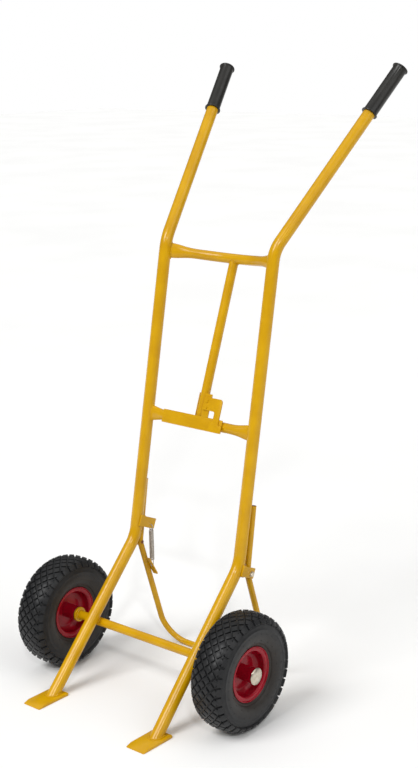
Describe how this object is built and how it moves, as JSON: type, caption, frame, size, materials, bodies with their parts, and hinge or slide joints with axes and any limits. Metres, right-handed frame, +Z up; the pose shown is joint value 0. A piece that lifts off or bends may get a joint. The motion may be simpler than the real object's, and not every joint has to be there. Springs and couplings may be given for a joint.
{
  "type": "hand truck",
  "caption": "Two-wheeled tubular steel drum truck with toe plates, a sliding rim catch on a centre tube, rubber grips and a spring-held folding rear stand.",
  "frame": {"origin": "on the floor, in the middle of the truck's length and width, standing on its toe plates, wheels and rear stand", "axes": "+X across the truck, toward the side without the spring; -Y toward the load, so the handles lean toward +Y; +Z up"},
  "size_m": [0.6248, 0.8396, 1.3794],
  "materials": {
    "yellow_powder_coat": "gloss golden-yellow powder coat",
    "grip_rubber": "semi-matt moulded rubber",
    "zinc_plated_steel": "bright zinc plate",
    "spring_steel": "zinc-plated wire",
    "red_enamel": "gloss red enamel",
    "tyre_rubber": "vulcanised black rubber",
    "bush_steel": "greased steel",
    "valve_brass": "rubber-covered brass"
  },
  "bodies": {
    "frame": {"axle": "yellow_powder_coat", "axle_collars": "yellow_powder_coat", "axle_washers": "zinc_plated_steel", "centre_guide_tube": "yellow_powder_coat", "left_axle_cap": "zinc_plated_steel", "left_grip": "grip_rubber", "left_side_tube": "yellow_powder_coat", "left_stand_bracket": "yellow_powder_coat", "left_toe_plate": "yellow_powder_coat", "lower_cross_member": "yellow_powder_coat", "right_axle_cap": "zinc_plated_steel", "right_grip": "grip_rubber", "right_side_tube": "yellow_powder_coat", "right_stand_bracket": "yellow_powder_coat", "right_toe_plate": "yellow_powder_coat", "spring_anchor_plate": "yellow_powder_coat", "stand_pivot_pins": "zinc_plated_steel", "stand_pivot_washers": "zinc_plated_steel", "stand_spring": "spring_steel", "upper_cross_member": "yellow_powder_coat"},
    "left_wheel": {"left_tyre": "tyre_rubber", "left_inner_tube": "tyre_rubber", "left_outer_rim_half": "red_enamel", "left_inner_rim_half": "red_enamel", "left_hub_tube": "red_enamel", "left_hub_bushes": "bush_steel", "left_valve_stem": "valve_brass"},
    "right_wheel": {"right_tyre": "tyre_rubber", "right_inner_tube": "tyre_rubber", "right_outer_rim_half": "red_enamel", "right_inner_rim_half": "red_enamel", "right_hub_tube": "red_enamel", "right_hub_bushes": "bush_steel", "right_valve_stem": "valve_brass"},
    "stand": {"stand_bar": "yellow_powder_coat", "spring_tab": "yellow_powder_coat"},
    "catch": {"catch_sleeve": "yellow_powder_coat", "catch_plate": "yellow_powder_coat", "catch_lip": "yellow_powder_coat", "catch_rivets": "yellow_powder_coat"}
  },
  "joints": [
    {"name": "left_wheel_spin", "type": "hinge", "parent": "frame", "child": "left_wheel", "pos_m": [-0.2645, -0.2, 0.13], "axis": [1, 0, 0], "continuous": true},
    {"name": "right_wheel_spin", "type": "hinge", "parent": "frame", "child": "right_wheel", "pos_m": [0.2645, -0.2, 0.13], "axis": [1, 0, 0], "continuous": true},
    {"name": "stand_fold", "type": "hinge", "parent": "frame", "child": "stand", "pos_m": [0, -0.0475, 0.28], "axis": [1, 0, 0], "range_deg": [-58, 0], "deforming": ["stand_spring"]},
    {"name": "catch_slide", "type": "slide", "parent": "frame", "child": "catch", "axis": [0, 0.3483, 0.9374], "range_m": [0, 0.29]}
  ]
}
